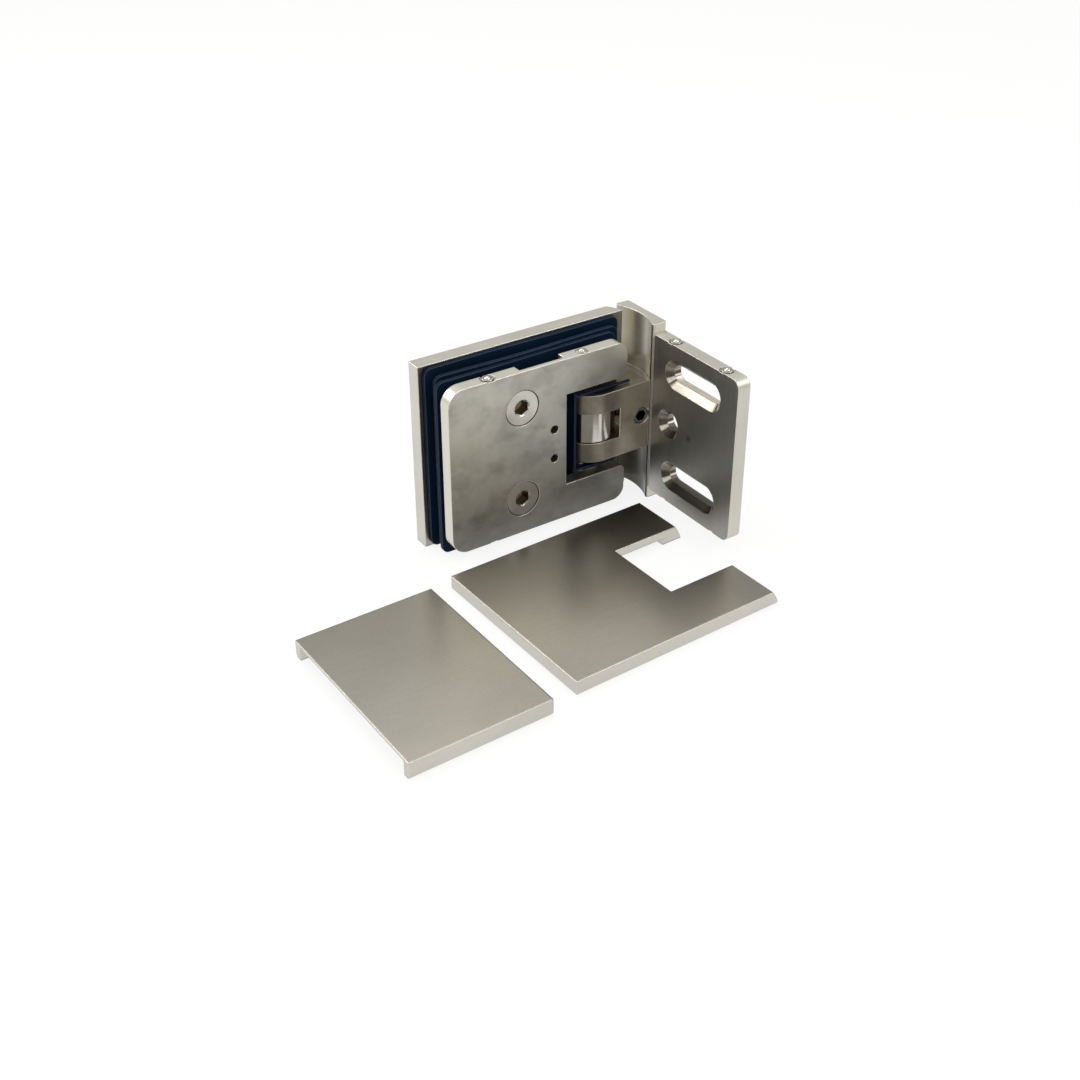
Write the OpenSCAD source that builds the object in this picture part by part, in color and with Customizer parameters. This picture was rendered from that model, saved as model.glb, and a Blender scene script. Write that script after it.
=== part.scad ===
// Glass door hinge, 90 degrees from wall to glass, standing on its lower edges,
// with its two clip-on covers taken off and lying in front of it.
// The origin is the centre of the round fixing hole, on the wall face.
// X points into the wall, Z points up, and -Y is the side that faces the room.

/* [Hinge] */
// Height of the hinge with its covers on
hinge_h = 90; // [80:1:110]
// Distance from the wall face to the pivot axis
pivot_out = 32.5; // [32:0.5:40]
// Distance from the pivot axis to the outer edge of the glass side
leaf_w = 84.3; // [78:0.1:100]
// Radius of the rounded hinge end of the glass side
leaf_end_r = 24.4; // [23:0.1:24.8]
// Running gap between the glass side's end and the hollow of the post
end_gap = 3.8; // [3:0.1:4]
// Clear gap between the two clamp plates
glass_gap = 14; // [12:0.5:15]
// Thickness of the front clamp plate
plate_t = 6.3; // [6:0.1:7]
// Thickness of the covers' face
cover_t = 1.2; // [0.8:0.1:1.6]

/* [Wall leaf] */
// Thickness of the wall plate
wall_t = 6.7; // [6:0.1:8]
// Reach of the wall plate past the post
wall_reach = 58; // [54:1:70]
// Distance from the round fixing hole to the post
hole_to_post = 12.3; // [11.5:0.1:14]
// Corner radius of the wall plate
wall_corner_r = 4.5; // [2:0.5:6]
// Corner radius of the post
post_corner_r = 1.2; // [0.5:0.1:1.5]
// Diameter of the fixing hole and width of the slots
fixing_d = 8.5; // [6:0.5:9]
// Radius of the countersink at the plate's face
fixing_sink_r = 7.2; // [6:0.1:8]
// Distance between the end centres of one slot
slot_run = 24; // [12:1:28]
// Distance from the round hole to the middle of the slots, along the plate
slot_shift = 15.6; // [15:0.1:20]
// Height of each slot above or below the round hole
slot_z = 26; // [22:1:29]

/* [Knuckle] */
// Height of the knuckle block
knuckle_h = 34; // [32:1:36]
// Height of the window between the two ears
window_h = 15; // [14:0.5:18]
// Radius of the cam sleeve
cam_r = 12.5; // [11.5:0.1:12.8]
// Distance from the pivot axis to the cam's flat
cam_flat = 11; // [10:0.1:11.4]
// Gap between the cam sleeve and the wall of the window
window_gap = 3.2; // [2.5:0.1:3.6]
// Radius of the pivot pin
pin_r = 5; // [4:0.1:5.5]
// Wall thickness of the bearing bushes
bush_wall = 1.5; // [1:0.1:2]
// Radius of the bushes' flanges
bush_flange_r = 12.8; // [8:0.1:13]
// Thickness of the bushes' flanges
bush_flange_t = 0.6; // [0.4:0.1:1.2]
// Radius of the spring plunger that presses on the cam
plunger_r = 3.9; // [3:0.1:4.2]
// Radius of the lock screw in the block's front face
lock_r = 4; // [3:0.1:4]

/* [Glass side] */
// Inset of the front plate from the outer edge of the hinge
plate_inset = 2.7; // [2:0.1:4]
// Reach of the front plate past the pivot axis
plate_past = 11.6; // [8:0.1:13]
// Corner radius of the front plate at its outer end
plate_corner_r = 8; // [4:0.5:12]
// Corner radius of the front plate's arms
arm_corner_r = 6; // [3:0.5:8]
// Distance from the pivot axis to the end of the front plate's cut-out
cut_depth = 21.3; // [19:0.1:24]
// Height of the front plate's cut-out
cut_h = 46; // [44:1:50]
// Distance from the pivot axis to the end of the covers' cut-out
mouth_depth = 15; // [14.6:0.1:16]
// Height of the covers' cut-out
mouth_h = 38.5; // [37:0.5:40]
// Distance from the pivot axis to the clamp screws
screw_out = 44.5; // [38:0.1:60]
// Height of each clamp screw above or below the middle
screw_z = 22.8; // [18:0.1:28]
// Radius of the clamp screws' shanks
screw_r = 4; // [3:0.5:5]
// Radius of the clamp screws' heads
screw_head_r = 8.2; // [7.5:0.1:9]
// Width across the flats of the clamp screws' sockets
screw_hex = 6.4; // [4:0.1:8]
// Depth by which the clamp screws' heads sit below the face
screw_sink = 0.4; // [0:0.05:0.5]
// Gap round the clamp screws' heads at the face
screw_gap = 0.45; // [0.1:0.05:0.5]
// Distance from the pivot axis to the two small holes
pinhole_out = 27.7; // [25:0.1:32]
// Height of each small hole above or below the middle
pinhole_z = 7.3; // [5:0.1:12]
// Radius of the small holes
pinhole_r = 2.1; // [1:0.1:2.5]
// Thickness of the rubber gaskets
gasket_t = 1.8; // [1:0.1:2]
// Thickness of the rubber liner of the notch
liner_t = 0.9; // [0.6:0.1:1]

/* [Covers] */
// Thickness of the covers' long side walls
cover_wall = 3.7; // [3:0.1:4]
// Gap between a plate's edge and the cover's side wall
cover_gap = 1; // [0.9:0.1:1.2]
// Thickness of the wall cover's end wall
cover_end_wall = 4.8; // [3:0.1:6]
// Thickness of the glass cover's outer end wall
cover_outer_wall = 2.2; // [1.5:0.1:2.4]
// Depth of the rim round the glass cover's cut-out
mouth_rim = 4; // [3:0.1:5]
// Radius along the lower outer edges of the covers
cover_edge_r = 1.6; // [0.5:0.1:1.8]
// Turn of the glass cover as it lies
glass_cover_turn = 1.8; // [0:0.1:2]
// Turn of the wall cover as it lies
wall_cover_turn = 1; // [0:0.1:2]

// Distance from the glass side's outer end to the glass cover's left side, as it lies
glass_cover_left = 7.8; // [0:0.1:20]
// Distance from the rear plate's back to the glass cover's back edge, as it lies
glass_cover_front = 43.5; // [42:0.1:60]
// Distance from the glass side's outer end to the wall cover's left side, as it lies
wall_cover_left = 84; // [80:0.1:120]
// Distance from the rear plate's back to the wall cover's back edge, as it lies
wall_cover_front = 48.8; // [42:0.1:70]

/* [Ball plungers] */
// Radius of the plungers' sleeves
sleeve_r = 2.7; // [2.2:0.1:2.8]
// Length of the plungers' sleeves
sleeve_l = 5.4; // [5:0.1:6]
// Radius of the plungers' balls
ball_r = 1.7; // [1.3:0.05:1.7]
// Height by which a ball stands out of its sleeve
ball_out = 0.8; // [0.6:0.05:0.8]

/* [Hidden] */
$fn = 64;

// A gap that lets two fitted pieces of one body lie side by side
fit = 0.02;
// Radial play of a turning or sliding pair
play = 0.05;
// A cutter's reach past the face it cuts
past = 1;

// Depth of the hinge from the front cover's face to the rear plate's back
hinge_d = glass_gap + 2 * (plate_t + cover_t);
half_gap = glass_gap / 2;
half_d = hinge_d / 2;
pivot_x = -pivot_out;
pivot_y = hole_to_post + half_d;
floor_z = -hinge_h / 2;
// The plates stop short of the covers' outline by a side wall and its gap
plate_h = hinge_h - 2 * (cover_wall + cover_gap);
plate_left = -leaf_w + plate_inset;
plate_front = -half_gap - plate_t;
plate_mid = -half_gap - plate_t / 2;

post_r = leaf_end_r + end_gap;
post_t = wall_t + cover_t;
wall_end = hole_to_post - wall_reach;

knuckle_r = half_gap + plate_t;
window_r = cam_r + window_gap;
bush_r = pin_r + bush_wall;
lug_z0 = knuckle_h / 2 + bush_flange_t + 0.1;
lug_z1 = lug_z0 + 8.9;
lug_r = half_gap - 0.1;
pin_half = lug_z1 - 0.4;
cam_h = window_h - 0.4;
dowel_r = 1.25;

// The plunger stands at the top of its stroke, just clear of the cam's round
plunger_tip = cam_r + 0.15;
plunger_l = 5.6;
plunger_base = 1.8;
plunger_bore_r = 2.6;
spring_wire = 0.45;
spring_turns = 3;
// The spring's screw fills the bore from the wall face to just behind the plunger
seat_x0 = plunger_tip + plunger_l + 0.4;
seat_x1 = pivot_out - 1;
lock_x = 20.8;
lock_l = knuckle_r - plunger_r - 0.7;

screw_tip = half_gap + plate_t - 1.3;
screw_cone = screw_head_r - screw_r;
screw_rim = 0.4;
screw_socket = 3.2;
socket_edge = 0.3;

// The three gaskets, from the rear to the front: insets of their upper edge, outer edge
// and hinge end from the rear plate's upper edge, outer edge and gasket_past
gasket_tops = [1, 3.3, 4.4];
gasket_lefts = [2, 4.4, 2.9];
gasket_rights = [0, 3.4, 6.4];
gasket_bottom = 0.7;
gasket_corner_r = 3.5;
gasket_past = 19.4;
gasket_hole_r = screw_r + 0.5;
notch_half = lug_z1 + 0.8;
liner_lip = 1.2;
gasket_steps = 28;

// The recess in the front plate's upper edge, from its left end
pry_out = 44.7;
pry_l = 23;
pry_d = 2.6;
pry_lip = 2.1;

pocket_t = plate_t - 0.3;
dimple = 0.35;
sleeve_out = 0.35;
end_sleeve_out = 0.9;
sleeve_floor = 0.6;
// Spot faces round the plungers, a little wider than the plates are thick
spot_r = 3.5;
spot_d = 0.4;
sleeve_bore_r = ball_r + 0.04;

// Places of the ball plungers along the plates' edges
wall_ball_y = [1, -34];
plate_ball_x = [-60.2, -11.3];
end_ball_z = (cut_h / 2 + plate_h / 2) / 2;

// Far left corners of the two covers as they lie
glass_cover_x = pivot_x - leaf_w - glass_cover_left;
glass_cover_y = pivot_y + half_d - glass_cover_front;
wall_cover_x = pivot_x - leaf_w - wall_cover_left;
wall_cover_y = pivot_y + half_d - wall_cover_front;

metal = [0.66, 0.64, 0.59];
dark_metal = [0.5, 0.48, 0.44];
bright_metal = [0.8, 0.78, 0.73];
rubber = [0.06, 0.08, 0.13];
plastic = [0.05, 0.05, 0.06];

// Moves its children from the pivot's frame to the hinge's frame
module at_pivot() {
    translate([pivot_x, pivot_y, 0]) children();
}

// Turns a drawing in X and Z, given as X and Y, into a plate from y0 to y1
module slab(y0, y1) {
    translate([0, y1, 0]) rotate([90, 0, 0]) linear_extrude(height = y1 - y0) children();
}

// A rectangle from x0 to x1 and of height h, with a radius for each end
module rounded_plate(x0, x1, h, r_left, r_right) {
    translate([x0 + r_left, -h / 2]) square([x1 - x0 - r_left - r_right, h]);
    translate([x0, -h / 2 + r_left]) square([r_left, h - 2 * r_left]);
    translate([x1 - r_right, -h / 2 + r_right]) square([r_right, h - 2 * r_right]);
    for (s = [-1, 1]) {
        translate([x0 + r_left, s * (h / 2 - r_left)]) circle(r = r_left);
        translate([x1 - r_right, s * (h / 2 - r_right)]) circle(r = r_right);
    }
}

// What is cut off a corner at the origin that fills the first quadrant
module corner_cut(r) {
    difference() {
        translate([-past, -past]) square([r + past, r + past]);
        translate([r, r]) circle(r = r);
    }
}

// Plan of the glass side between two depths, with its end rounded about the pivot
module leaf_plan(y0, y1) {
    translate([-leaf_w, y0]) square([leaf_w, y1 - y0]);
    intersection() {
        circle(r = leaf_end_r, $fn = 128);
        translate([0, y0]) square([leaf_end_r, y1 - y0]);
    }
}

// A countersunk hole along X from the room side of the wall plate to the wall
module sunk_hole() {
    rotate([0, 90, 0]) translate([0, 0, -wall_t - past]) cylinder(r = fixing_d / 2, h = wall_t + 2 * past);
    sink = fixing_sink_r - fixing_d / 2;
    rotate([0, 90, 0]) translate([0, 0, -wall_t - 0.01])
        cylinder(r1 = fixing_sink_r + 0.01, r2 = fixing_d / 2, h = sink + 0.01);
}

// A countersunk slot: round ends joined by a trapezoid prism and a through slot
module sunk_slot() {
    sink = fixing_sink_r - fixing_d / 2;
    for (s = [-1, 1]) translate([0, s * slot_run / 2, 0]) sunk_hole();
    translate([-wall_t - past, -slot_run / 2, -fixing_d / 2])
        cube([wall_t + 2 * past, slot_run, fixing_d]);
    translate([0, slot_run / 2, 0]) rotate([90, 0, 0]) linear_extrude(height = slot_run)
        polygon([[-wall_t - 0.01, -fixing_sink_r - 0.01], [-wall_t + sink, -fixing_d / 2],
            [-wall_t + sink, fixing_d / 2], [-wall_t - 0.01, fixing_sink_r + 0.01]]);
}

// Fork block: two round ears with a window for the cam, grown out of the post
module fork() {
    at_pivot() {
        translate([0, 0, -knuckle_h / 2]) cylinder(r = knuckle_r, h = knuckle_h, $fn = 96);
        translate([0, -knuckle_r, -knuckle_h / 2]) cube([post_r + 1, 2 * knuckle_r, knuckle_h]);
    }
}

// The window, the bush holes, the plunger's bore and the lock screw's hole in the fork
module fork_holes() {
    at_pivot() {
        translate([0, 0, -window_h / 2]) cylinder(r = window_r, h = window_h, $fn = 96);
        translate([0, 0, -knuckle_h / 2 - past]) cylinder(r = bush_r + fit, h = knuckle_h + 2 * past);
        rotate([0, 90, 0]) cylinder(r = plunger_r + play, h = pivot_out + past);
        translate([lock_x, 0, 0]) rotate([90, 0, 0]) {
            translate([0, 0, plunger_r - 0.5]) cylinder(r = lock_r + fit, h = knuckle_r);
            translate([0, 0, knuckle_r - 0.5]) cylinder(r1 = lock_r + fit, r2 = lock_r + 0.52, h = 0.51);
        }
    }
}

// Plan of the post: a bar whose inner face is hollow about the pivot
module post_plan() {
    difference() {
        translate([-post_t, hole_to_post]) square([post_t, hinge_d]);
        translate([pivot_x, pivot_y]) circle(r = post_r, $fn = 128);
    }
}

// Cast wall leaf: a post with a hollow inner face, the fork, and the plate with its screw holes
module wall_leaf() {
    color(metal) difference() {
        union() {
            translate([0, 0, floor_z]) linear_extrude(height = hinge_h) offset(r = post_corner_r)
                offset(delta = -post_corner_r) post_plan();
            fork();
            translate([-wall_t, 0, 0]) rotate([90, 0, 90]) linear_extrude(height = wall_t)
                difference() {
                    translate([wall_end, -plate_h / 2]) square([hole_to_post + wall_t / 3 - wall_end, plate_h]);
                    for (s = [0, 1]) mirror([0, s])
                        translate([wall_end, -plate_h / 2]) corner_cut(wall_corner_r);
                }
        }
        fork_holes();
        sunk_hole();
        for (s = [-1, 1]) translate([0, -slot_shift, s * slot_z]) sunk_slot();
        for (i = [0:3]) at_wall_ball(i) {
            plunger_hole();
            spot_face();
        }
    }
}

// Bored recess for a ball plunger that looks up
module plunger_hole() {
    translate([0, 0, sleeve_out - sleeve_l]) cylinder(r = sleeve_r + fit, h = sleeve_l + past, $fn = 48);
}

// Shallow spot face round a ball plunger
module spot_face() {
    translate([0, 0, -spot_d]) cylinder(r = spot_r, h = spot_d + past, $fn = 48);
}

// Socket screw in the fork's front face, which locks the spring's screw
module lock_screw() {
    color(dark_metal) at_pivot() translate([lock_x, -plunger_r - play, 0]) rotate([90, 0, 0])
        difference() {
            union() {
                cylinder(r = lock_r, h = lock_l);
                translate([0, 0, lock_l]) cylinder(r1 = lock_r, r2 = lock_r - 0.4, h = 0.3);
            }
            translate([0, 0, lock_l - 3.6]) cylinder(r = 2.9, h = 4, $fn = 6);
        }
}

// Cup-shaped plunger with a domed nose towards the cam
module cam_plunger() {
    nose = 1.2;
    color(bright_metal) at_pivot() translate([plunger_tip, 0, 0]) rotate([0, 90, 0]) difference() {
        rotate_extrude() union() {
            translate([0, nose]) square([plunger_r, plunger_l - nose]);
            polygon([[0, 0], [plunger_r - 2 * nose, 0], [plunger_r - 0.8, nose / 3],
                [plunger_r, nose], [0, nose]]);
        }
        translate([0, 0, plunger_base]) cylinder(r = plunger_bore_r, h = plunger_l);
    }
}

// Coil spring between the plunger and its seat
module cam_spring() {
    x0 = plunger_tip + plunger_base + 0.05;
    turn_r = plunger_bore_r - spring_wire - 0.1;
    color(dark_metal) at_pivot() translate([x0, 0, 0]) rotate([0, 90, 0])
        linear_extrude(height = seat_x0 - 0.05 - x0, twist = -360 * spring_turns, $fn = 8,
            slices = 16 * spring_turns) translate([turn_r, 0]) scale([1, 1.6]) circle(r = spring_wire);
}

// Screw that closes the plunger's bore and sets the spring, with its socket at the wall face
module spring_screw() {
    color(dark_metal) at_pivot() translate([seat_x0, 0, 0]) rotate([0, 90, 0]) difference() {
        cylinder(r = plunger_r, h = seat_x1 - seat_x0);
        translate([0, 0, seat_x1 - seat_x0 - 4]) cylinder(r = 2.3, h = 4 + past, $fn = 6);
    }
}

// Flanged bearing bush in one ear, pushed in from outside (s = 1 above, -1 below)
module bush(s) {
    color(plastic) at_pivot() mirror([0, 0, s > 0 ? 0 : 1]) difference() {
        union() {
            translate([0, 0, window_h / 2]) cylinder(r = bush_r, h = (knuckle_h - window_h) / 2);
            translate([0, 0, knuckle_h / 2]) cylinder(r = bush_flange_r, h = bush_flange_t, $fn = 96);
        }
        cylinder(r = pin_r + play, h = knuckle_h);
    }
}

module upper_bush() {
    bush(1);
}

module lower_bush() {
    bush(-1);
}

// Threaded sleeve of a ball plunger, looking up, with a lip that holds the ball back
module plunger_sleeve() {
    mouth = ball_r - 0.14;
    translate([0, 0, sleeve_out]) rotate_extrude($fn = 48)
        polygon([[0, -sleeve_l], [sleeve_r, -sleeve_l], [sleeve_r, -0.2], [sleeve_r - 0.2, 0], [mouth, 0],
            [sleeve_bore_r, -0.5], [sleeve_bore_r, sleeve_floor - sleeve_l], [0, sleeve_floor - sleeve_l]]);
}

// Short coil spring, closed up, on the floor of a plunger's sleeve
module plunger_spring() {
    wire = 0.25;
    turns = 3;
    translate([0, 0, sleeve_out - sleeve_l + sleeve_floor]) rotate_extrude($fn = 32)
        for (i = [0:turns - 1]) translate([sleeve_bore_r - wire - 0.08, wire + 1.8 * wire * i])
            circle(r = wire, $fn = 16);
}

// Ball of a plunger
module plunger_ball() {
    translate([0, 0, sleeve_out + ball_out - ball_r]) sphere(r = ball_r, $fn = 48);
}

// Turns what looks up into looking down for the odd numbers
module up_or_down(i) {
    mirror([0, 0, i % 2]) children();
}

// Place of ball plunger number i, 0 to 3, on the wall plate's upper and lower edges
module at_wall_ball(i) {
    translate([-wall_t / 2, wall_ball_y[floor(i / 2)], 0])
        up_or_down(i) translate([0, 0, plate_h / 2]) children();
}

// Place of ball plunger number i on the front plate: 0 to 3 on its edges, 4 and 5 on its arms' ends
module at_plate_ball(i) {
    at_pivot() {
        if (i < 4) translate([plate_ball_x[floor(i / 2)], plate_mid, 0])
            up_or_down(i) translate([0, 0, plate_h / 2]) children();
        else translate([plate_past + end_sleeve_out - sleeve_out, plate_mid, 0]) up_or_down(i)
            translate([0, 0, end_ball_z]) rotate([0, 90, 0]) children();
    }
}

module wall_plunger_sleeves() {
    color(dark_metal) for (i = [0:3]) at_wall_ball(i) plunger_sleeve();
}

module wall_plunger_springs() {
    color(dark_metal) for (i = [0:3]) at_wall_ball(i) plunger_spring();
}

module wall_ball(i) {
    color(bright_metal) at_wall_ball(i) plunger_ball();
}

module plate_plunger_sleeves() {
    color(dark_metal) for (i = [0:5]) at_plate_ball(i) plunger_sleeve();
}

module plate_plunger_springs() {
    color(dark_metal) for (i = [0:5]) at_plate_ball(i) plunger_spring();
}

module plate_ball(i) {
    color(bright_metal) at_plate_ball(i) plunger_ball();
}

// Outline of the front plate, grown by a clearance
module plate_outline(grow) {
    difference() {
        rounded_plate(plate_left - grow, plate_past + grow, plate_h + 2 * grow,
            plate_corner_r + grow, arm_corner_r + grow);
        translate([-cut_depth + grow, -cut_h / 2 + grow])
            square([cut_depth + plate_past + past, cut_h - 2 * grow]);
        for (s = [0, 1]) mirror([0, s]) translate([plate_past + grow, cut_h / 2 - grow])
            mirror([1, 0]) corner_cut(2.5);
    }
}

// Clamp plate with a cut-out for the knuckle, countersunk screw holes and a pry recess
module front_plate() {
    color(metal) difference() {
        at_pivot() slab(plate_front, -half_gap) plate_outline(0);
        at_pivot() {
            for (s = [-1, 1]) {
                translate([-screw_out, plate_front, s * screw_z]) screw_hole();
                translate([-pinhole_out, plate_front - past, s * pinhole_z]) rotate([-90, 0, 0])
                    cylinder(r = pinhole_r, h = plate_t + 2 * past);
            }
            translate([-pry_out, plate_front + pry_lip, plate_h / 2]) pry_recess();
        }
        for (i = [0:5]) at_plate_ball(i) plunger_hole();
        for (i = [0, 1]) at_plate_ball(i) spot_face();
    }
}

// Recess in the back half of the plate's upper edge, milled from its rounded left end
module pry_recess() {
    translate([pry_d, 0, -pry_d]) cube([pry_l - pry_d, plate_t, pry_d + past]);
    translate([pry_d, 0, 0]) rotate([-90, 0, 0]) cylinder(r = pry_d, h = plate_t, $fn = 48);
}

// Plan of one lug that holds an end of the pivot pin
module lug_plan() {
    circle(r = lug_r);
    translate([-lug_r, 0]) square([2 * lug_r, half_gap + 0.5]);
}

// Rear plate, cast with the two lugs that hold the pivot pin
module rear_plate() {
    color(metal) at_pivot() difference() {
        union() {
            translate([0, 0, floor_z]) linear_extrude(height = hinge_h) leaf_plan(half_gap, half_d);
            for (s = [0, 1]) mirror([0, 0, s]) translate([0, 0, lug_z0])
                linear_extrude(height = lug_z1 - lug_z0) lug_plan();
        }
        translate([-mouth_depth, half_gap, -mouth_h / 2])
            cube([mouth_depth + leaf_end_r + past, half_d, mouth_h]);
        cylinder(r = pin_r + fit, h = 2 * hinge_h, center = true);
        for (s = [-1, 1]) {
            translate([0, 0, s * (lug_z0 + lug_z1) / 2]) rotate([90, 0, 0])
                cylinder(r = dowel_r + fit, h = 2 * lug_r - 1, center = true, $fn = 32);
            translate([-screw_out, half_gap - past, s * screw_z]) rotate([-90, 0, 0])
                cylinder(r = screw_r + fit, h = screw_tip - half_gap + past + 0.3);
        }
    }
}

// Centre line of gasket number k across the glass gap at the place x
function gasket_y(k, x) =
    let (t = (x + leaf_w) / (leaf_w + gasket_past), ease = t * t * (3 - 2 * t))
    k == 0 ? half_gap - 0.68 * gasket_t - 0.13 * gasket_t * cos(540 * t)
    : k == 1 ? half_gap * (0.07 + 0.07 * ease + 0.08 * cos(400 * t))
    : half_gap * (-0.37 + 0.24 * ease);

// Rubber gasket number k: a wavy sheet with a notch, which hangs on the two screws
module gasket(k) {
    top = hinge_h / 2 - gasket_tops[k];
    bottom = gasket_bottom - hinge_h / 2;
    left = gasket_lefts[k] - leaf_w;
    right = gasket_past - gasket_rights[k];
    line = [for (i = [0:gasket_steps])
        let (x = left - past + (right + 2 * past - left) * i / gasket_steps) [x, gasket_y(k, x)]];
    front = [for (p = line) [p[0], p[1] - gasket_t / 2]];
    back = [for (i = [gasket_steps:-1:0]) [line[i][0], line[i][1] + gasket_t / 2]];
    color(rubber) at_pivot() intersection() {
        translate([0, 0, floor_z]) linear_extrude(height = hinge_h) polygon(concat(front, back));
        slab(-half_gap, half_gap) difference() {
            translate([0, (top + bottom) / 2])
                rounded_plate(left, right, top - bottom, gasket_corner_r, gasket_corner_r);
            translate([-cut_depth - 1, -notch_half]) square([cut_depth + 2 * gasket_past, 2 * notch_half]);
            for (s = [-1, 1]) translate([-screw_out, s * screw_z + screw_r + play - gasket_hole_r])
                circle(r = gasket_hole_r);
        }
    }
}

module gasket_rear() {
    gasket(0);
}

module gasket_middle() {
    gasket(1);
}

module gasket_front() {
    gasket(2);
}

// Rubber liner round the notch: a wall beside the ears, a wide lower return and a narrow
// upper one, which sags onto the upper ear
module notch_liner() {
    x0 = -mouth_depth;
    y0 = plate_front + mouth_rim - cover_t;
    z1 = mouth_h / 2 + liner_t;
    color(rubber) at_pivot() {
        translate([x0, y0, -z1]) cube([liner_t, half_gap - y0, 2 * z1]);
        translate([x0, y0, -z1]) cube([mouth_depth + plate_past - 3, -half_gap - 0.1 - y0, liner_t]);
        translate([x0, y0, lug_z0 + 0.2]) cube([mouth_depth + plate_past + 4, liner_lip, liner_t]);
    }
}

// Countersunk clamp screw along Y, its head just below a face at the origin, grown by a clearance
module screw_body(extra) {
    rotate([-90, 0, 0]) translate([0, 0, screw_sink]) {
        translate([0, 0, -extra]) cylinder(r = screw_head_r + 2 * extra, h = screw_rim + extra);
        translate([0, 0, screw_rim])
            cylinder(r1 = screw_head_r + 2 * extra, r2 = screw_r + extra, h = screw_cone);
        cylinder(r = screw_r + extra, h = screw_tip - plate_front - screw_sink);
    }
}

// Countersunk hole for a clamp screw, a little wider than its head
module screw_hole() {
    screw_body(fit);
    rotate([-90, 0, 0]) translate([0, 0, -past])
        cylinder(r = screw_head_r + screw_gap, h = past + screw_sink + screw_rim);
}

// Clamp screw above (s = 1) or below (s = -1) the middle, with its hexagon socket
module clamp_screw(s) {
    socket_r = screw_hex / 2 / cos(30);
    color(bright_metal) at_pivot() translate([-screw_out, plate_front, s * screw_z]) difference() {
        screw_body(0);
        rotate([-90, 0, 0]) rotate([0, 0, 30]) {
            translate([0, 0, screw_sink - past]) cylinder(r = socket_r, h = screw_socket + past, $fn = 6);
            translate([0, 0, screw_sink - 0.01])
                cylinder(r1 = socket_r + socket_edge, r2 = socket_r - 0.3, h = socket_edge + 0.3);
        }
    }
}

module upper_clamp_screw() {
    clamp_screw(1);
}

module lower_clamp_screw() {
    clamp_screw(-1);
}

// Pivot pin with chamfered ends and cross holes for its dowels
module pivot_pin() {
    edge = 0.6;
    color(bright_metal) at_pivot() difference() {
        rotate_extrude() polygon([[0, -pin_half], [pin_r - edge, -pin_half], [pin_r, -pin_half + edge],
            [pin_r, pin_half - edge], [pin_r - edge, pin_half], [0, pin_half]]);
        for (s = [-1, 1]) translate([0, 0, s * (lug_z0 + lug_z1) / 2]) rotate([90, 0, 0])
            cylinder(r = dowel_r + fit, h = 4 * pin_r, center = true, $fn = 32);
        cam_dowel_place() translate([0, 0, 1.5 - pin_r]) cylinder(r = dowel_r + fit, h = 2 * pin_r, $fn = 32);
    }
}

// Cam sleeve on the pivot pin, with the flat that faces the plunger when the door is closed
module cam_sleeve() {
    color(bright_metal) at_pivot() difference() {
        translate([0, 0, -cam_h / 2]) cylinder(r = cam_r, h = cam_h, $fn = 96);
        translate([cam_flat, -cam_r, -cam_h]) cube([cam_r, 2 * cam_r, 2 * cam_h]);
        cylinder(r = pin_r + fit, h = 2 * cam_h, center = true);
        cam_dowel_place() cylinder(r = dowel_r + fit, h = 2 * cam_r, $fn = 32);
    }
}

// Dowel that keys the cam sleeve to the pin
module cam_dowel() {
    color(dark_metal) at_pivot() cam_dowel_place() translate([0, 0, 1.6 - pin_r])
        cylinder(r = dowel_r, h = pin_r - 1.6 + cam_r - 0.4, $fn = 32);
}

// Turns what looks up to the far side of the cam, away from the plunger
module cam_dowel_place() {
    rotate([0, 0, 135]) rotate([0, 90, 0]) children();
}

// Dowels that key the pin to the two lugs
module lug_dowels() {
    color(dark_metal) at_pivot() for (s = [-1, 1]) translate([0, 0, s * (lug_z0 + lug_z1) / 2])
        rotate([90, 0, 0]) cylinder(r = dowel_r, h = 2 * lug_r - 1.2, center = true, $fn = 32);
}

// Straight cutter along X that rounds an edge on the axis y = z = 0 of a body in +Y, +Z
module edge_round(length) {
    translate([-past, 0, 0]) rotate([90, 0, 90]) linear_extrude(height = length + 2 * past)
        difference() {
            translate([-past, -past]) square([cover_edge_r + past, cover_edge_r + past]);
            translate([cover_edge_r, cover_edge_r]) circle(r = cover_edge_r);
        }
}

// Glass cover where it fits: its face in front, its rim just short of the gasket
module fitted_glass_cover() {
    rim = -half_d + cover_t + pocket_t;
    length = leaf_w + leaf_end_r;
    reach = cover_gap + dimple - ball_r;
    end_reach = reach + end_sleeve_out - sleeve_out;
    difference() {
        translate([0, 0, floor_z]) linear_extrude(height = hinge_h) leaf_plan(-half_d, rim);
        slab(-half_d + cover_t, rim + past) intersection() {
            plate_outline(cover_gap);
            translate([cover_outer_wall - leaf_w, floor_z]) square([length, hinge_h]);
        }
        slab(-half_d + mouth_rim, rim + past) translate([-cut_depth, -cut_h / 2])
            square([cut_depth + plate_past + cover_gap, cut_h]);
        translate([-mouth_depth, -half_d - past, -mouth_h / 2])
            cube([mouth_depth + leaf_end_r + past, half_d, mouth_h]);
        for (s = [0, 1]) mirror([0, 0, s]) translate([-leaf_w, rim, floor_z]) mirror([0, 1, 0])
            edge_round(length);
        translate([-leaf_w, rim, floor_z]) rotate([0, -90, 0]) mirror([0, 1, 0]) mirror([0, 0, 1])
            edge_round(hinge_h);
        for (x = plate_ball_x, s = [-1, 1]) translate([x, plate_mid, s * (plate_h / 2 + reach)])
            sphere(r = ball_r, $fn = 32);
        for (s = [-1, 1]) translate([plate_past + end_reach, plate_mid, s * end_ball_z])
            sphere(r = ball_r, $fn = 32);
    }
}

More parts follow.
